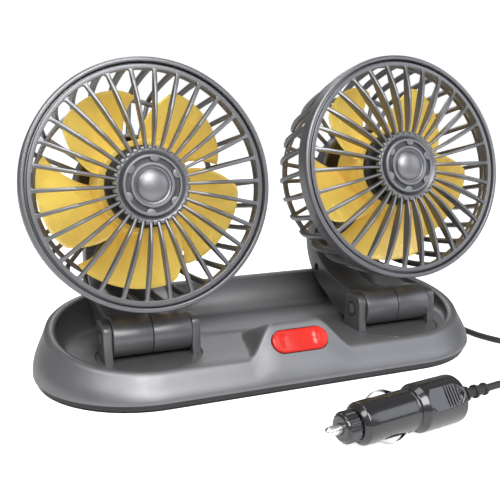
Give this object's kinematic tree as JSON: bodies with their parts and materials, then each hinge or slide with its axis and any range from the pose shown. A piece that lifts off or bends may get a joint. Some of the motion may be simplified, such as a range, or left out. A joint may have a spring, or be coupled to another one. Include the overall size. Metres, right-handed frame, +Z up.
{
  "type": "dual head car fan",
  "caption": "Twin dashboard fan: round caged heads with yellow rotors on folding arms and turntables, on a tray-like base with a red rocker switch and a 12 V plug on a lead.",
  "frame": {"origin": "centre of the foot's outline, on the surface that the base stands on", "axes": "+X along the base from the left head to the right one, +Y to the back, +Z up; the fans blow towards -Y"},
  "size_m": [0.3283, 0.2419, 0.1861],
  "materials": {
    "base_plastic": "satin",
    "head_plastic": "satin",
    "arm_plastic": "satin",
    "black_plastic": "satin",
    "plug_plastic": "polished",
    "blade_plastic": "gloss",
    "switch_plastic": "gloss",
    "pad_rubber": "matte",
    "cord_rubber": "satin",
    "steel": "satin",
    "bright_metal": "polished",
    "copper_winding": "satin",
    "board": "satin",
    "fuse_glass": "clear"
  },
  "bodies": {
    "base": {"base_shell": "base_plastic", "bottom_plate": "black_plastic", "anti_slip_pad": "pad_rubber", "switch_body": "black_plastic", "circuit_board": "board", "cable_gland": "black_plastic", "base_screw_1": "steel", "base_screw_2": "steel", "base_screw_3": "steel", "base_screw_4": "steel", "plug_barrel": "plug_plastic", "plug_collar": "black_plastic", "plug_handle": "plug_plastic", "strain_relief": "cord_rubber", "cord_from_plug": "cord_rubber", "cord_coil": "cord_rubber", "cord_to_base": "cord_rubber"},
    "left_turntable": {"left_turntable": "arm_plastic", "left_retainer": "steel", "left_retainer_screw": "steel", "left_hinge_bolt": "steel", "left_hinge_nut": "steel"},
    "left_arm": {"left_arm_left_half": "arm_plastic", "left_arm_right_half": "arm_plastic", "left_arm_screw": "steel", "left_pivot_pin": "steel"},
    "left_head": {"left_rear_cage": "head_plastic", "left_front_grille": "head_plastic", "left_hub_cap": "head_plastic", "left_motor_stator": "copper_winding", "left_shaft_bushing": "copper_winding"},
    "left_rotor": {"left_motor_bell": "black_plastic", "left_motor_shaft": "steel", "left_fan_rotor": "blade_plastic"},
    "right_turntable": {"right_turntable": "arm_plastic", "right_retainer": "steel", "right_retainer_screw": "steel", "right_hinge_bolt": "steel", "right_hinge_nut": "steel"},
    "right_arm": {"right_arm_left_half": "arm_plastic", "right_arm_right_half": "arm_plastic", "right_arm_screw": "steel", "right_pivot_pin": "steel"},
    "right_head": {"right_rear_cage": "head_plastic", "right_front_grille": "head_plastic", "right_hub_cap": "head_plastic", "right_motor_stator": "copper_winding", "right_shaft_bushing": "copper_winding"},
    "right_rotor": {"right_motor_bell": "black_plastic", "right_motor_shaft": "steel", "right_fan_rotor": "blade_plastic"},
    "rocker": {"switch_rocker": "switch_plastic"},
    "plug_tip": {"plug_tip": "bright_metal", "plug_fuse": "fuse_glass"},
    "plug_contact_upper": {"plug_contact_upper": "bright_metal"},
    "plug_contact_lower": {"plug_contact_lower": "bright_metal"}
  },
  "joints": [
    {"name": "left_yaw", "type": "hinge", "parent": "base", "child": "left_turntable", "pos_m": [-0.0795, -0.0207, 0.0189], "axis": [0, 0, 1], "range_deg": [-180, 180]},
    {"name": "left_arm_tilt", "type": "hinge", "parent": "left_turntable", "child": "left_arm", "pos_m": [-0.0795, -0.0207, 0.031], "axis": [1, 0, 0], "range_deg": [0, 45]},
    {"name": "left_head_tilt", "type": "hinge", "parent": "left_arm", "child": "left_head", "pos_m": [-0.0795, 0.0393, 0.093], "axis": [-1, 0, 0], "range_deg": [-5, 25]},
    {"name": "left_spin", "type": "hinge", "parent": "left_head", "child": "left_rotor", "pos_m": [-0.0795, -0.03275, 0.11614], "axis": [0, -0.986, 0.1668], "continuous": true},
    {"name": "right_yaw", "type": "hinge", "parent": "base", "child": "right_turntable", "pos_m": [0.0795, -0.0207, 0.0189], "axis": [0, 0, 1], "range_deg": [-180, 180]},
    {"name": "right_arm_tilt", "type": "hinge", "parent": "right_turntable", "child": "right_arm", "pos_m": [0.0795, -0.0207, 0.031], "axis": [1, 0, 0], "range_deg": [0, 45]},
    {"name": "right_head_tilt", "type": "hinge", "parent": "right_arm", "child": "right_head", "pos_m": [0.0795, 0.0393, 0.093], "axis": [-1, 0, 0], "range_deg": [-8, 22]},
    {"name": "right_spin", "type": "hinge", "parent": "right_head", "child": "right_rotor", "pos_m": [0.0795, -0.03135, 0.12012], "axis": [0, -0.9751, 0.2215], "continuous": true},
    {"name": "switch_rock", "type": "hinge", "parent": "base", "child": "rocker", "pos_m": [0.0013, -0.04714, 0.02385], "axis": [0, 0.5514, 0.8342], "range_deg": [-4, 4]},
    {"name": "plug_tip_press", "type": "slide", "parent": "base", "child": "plug_tip", "axis": [0.9887, 0.1499, 0], "range_m": [0, 0.003], "stiffness_N_per_m": 300},
    {"name": "plug_contact_upper_press", "type": "slide", "parent": "base", "child": "plug_contact_upper", "axis": [0.086, -0.5671, -0.8192], "range_m": [0, 0.002], "stiffness_N_per_m": 300},
    {"name": "plug_contact_lower_press", "type": "slide", "parent": "base", "child": "plug_contact_lower", "axis": [-0.086, 0.5671, 0.8192], "range_m": [0, 0.002], "stiffness_N_per_m": 300}
  ]
}
